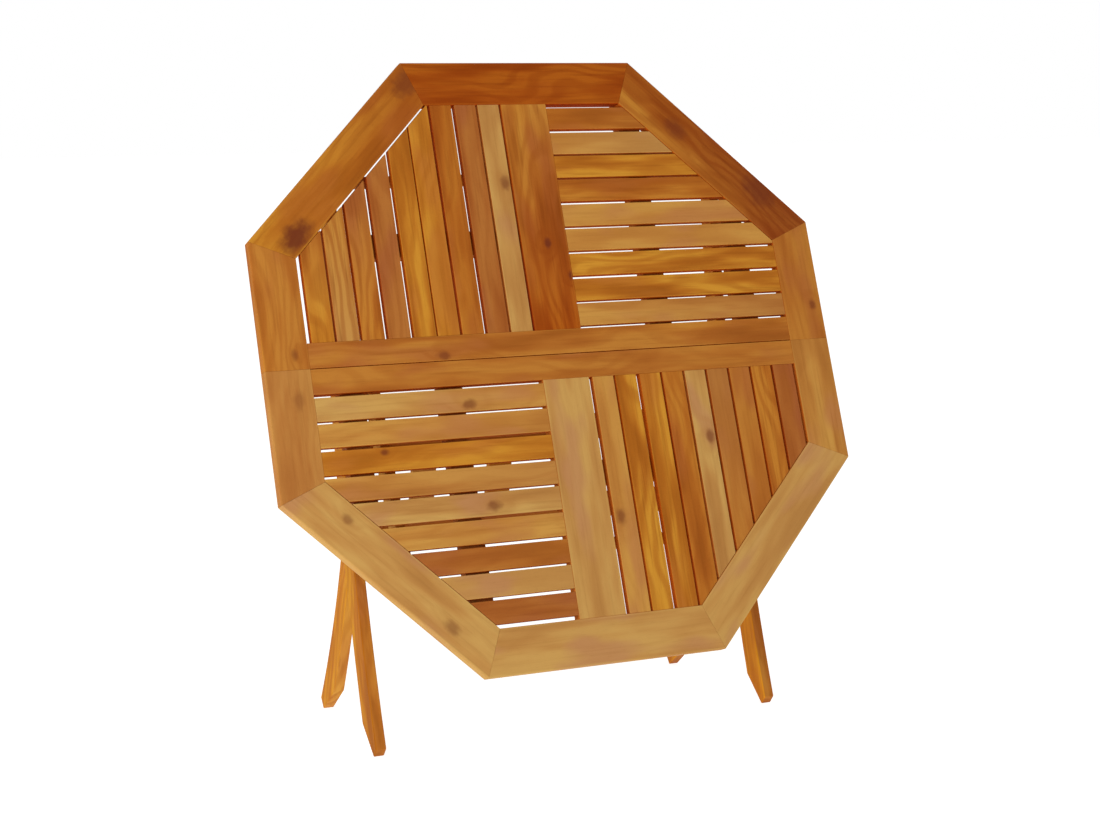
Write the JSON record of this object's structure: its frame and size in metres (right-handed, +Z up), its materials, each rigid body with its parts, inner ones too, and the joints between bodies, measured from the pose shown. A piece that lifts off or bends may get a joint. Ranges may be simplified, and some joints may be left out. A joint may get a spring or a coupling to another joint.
{
  "type": "folding garden table",
  "caption": "Octagonal slatted wooden garden table on bowed crossed legs; the top tilts up as the legs fold together.",
  "frame": {"origin": "on the floor under the middle of the table's outline as it stands part-folded", "axes": "+X to the table's right seen from its upper face, +Y towards the rear legs, +Z up"},
  "size_m": [1.2, 0.4992, 1.2846],
  "materials": {
    "rim_wood": "oiled",
    "slat_wood": "oiled",
    "rail_wood": "oiled",
    "hidden_wood": "oiled",
    "leg_wood": "oiled",
    "rod_wood": "oiled",
    "zinc_steel": "zinc plated"
  },
  "bodies": {
    "pivot_bolts": {"pivot_bolts": "zinc_steel"},
    "outer_frame": {"outer_leg_left": "leg_wood", "outer_leg_right": "leg_wood", "hinge_rod_rear": "rod_wood"},
    "inner_frame": {"inner_leg_left": "leg_wood", "inner_leg_right": "leg_wood", "panel_rail_upper": "hidden_wood", "panel_rail_lower": "hidden_wood", "panel_slat_1": "hidden_wood", "panel_slat_2": "hidden_wood", "panel_slat_3": "hidden_wood", "panel_slat_4": "hidden_wood"},
    "knee_struts": {"knee_strut_left": "leg_wood", "knee_strut_right": "leg_wood", "hinge_rod_front": "rod_wood", "knee_bolts": "zinc_steel"},
    "top": {"rim_rear": "rim_wood", "rim_front": "rim_wood", "rim_diagonal_rear_right": "rim_wood", "rim_diagonal_rear_left": "rim_wood", "rim_diagonal_front_left": "rim_wood", "rim_diagonal_front_right": "rim_wood", "rim_right_rear": "rim_wood", "rim_right_front": "rim_wood", "rim_left_rear": "rim_wood", "rim_left_front": "rim_wood", "cross_rail_rear": "rail_wood", "cross_rail_front": "rail_wood", "stile_rear": "rail_wood", "stile_front": "rail_wood", "slats_rear_left": "slat_wood", "slats_rear_right": "slat_wood", "slats_front_left": "slat_wood", "slats_front_right": "slat_wood", "hinge_cleat_rear_right": "hidden_wood", "hinge_cleat_rear_left": "hidden_wood", "hinge_cleat_front_right": "hidden_wood", "hinge_cleat_front_left": "hidden_wood", "batten_rear_right_inner": "hidden_wood", "batten_rear_right_outer": "hidden_wood", "batten_front_left_inner": "hidden_wood", "batten_front_left_outer": "hidden_wood", "batten_rear_left": "hidden_wood", "batten_front_right": "hidden_wood"}
  },
  "joints": [
    {"name": "leg_spread", "type": "hinge", "parent": "pivot_bolts", "child": "outer_frame", "pos_m": [0, 0.05255, 0.52912], "axis": [-1, 0, 0], "range_deg": [-7, 39.25]},
    {"name": "inner_leg_spread", "type": "hinge", "parent": "pivot_bolts", "child": "inner_frame", "pos_m": [0, 0.05255, 0.52912], "axis": [1, 0, 0], "range_deg": [-6.88, 38.31]},
    {"name": "top_tilt", "type": "hinge", "parent": "outer_frame", "child": "top", "pos_m": [0, 0.12981, 1.05503], "axis": [-1, 0, 0], "range_deg": [-5.44, 30.28]},
    {"name": "strut_swing", "type": "hinge", "parent": "top", "child": "knee_struts", "pos_m": [0, -0.12959, 0.36198], "axis": [-1, 0, 0], "range_deg": [-6.86, 38.23]}
  ],
  "couplings": [
    {"joint": "inner_leg_spread", "follows": "leg_spread", "ratio": 0.97494},
    {"joint": "top_tilt", "follows": "leg_spread", "ratio": 0.77029},
    {"joint": "strut_swing", "follows": "leg_spread", "ratio": 0.97286}
  ]
}
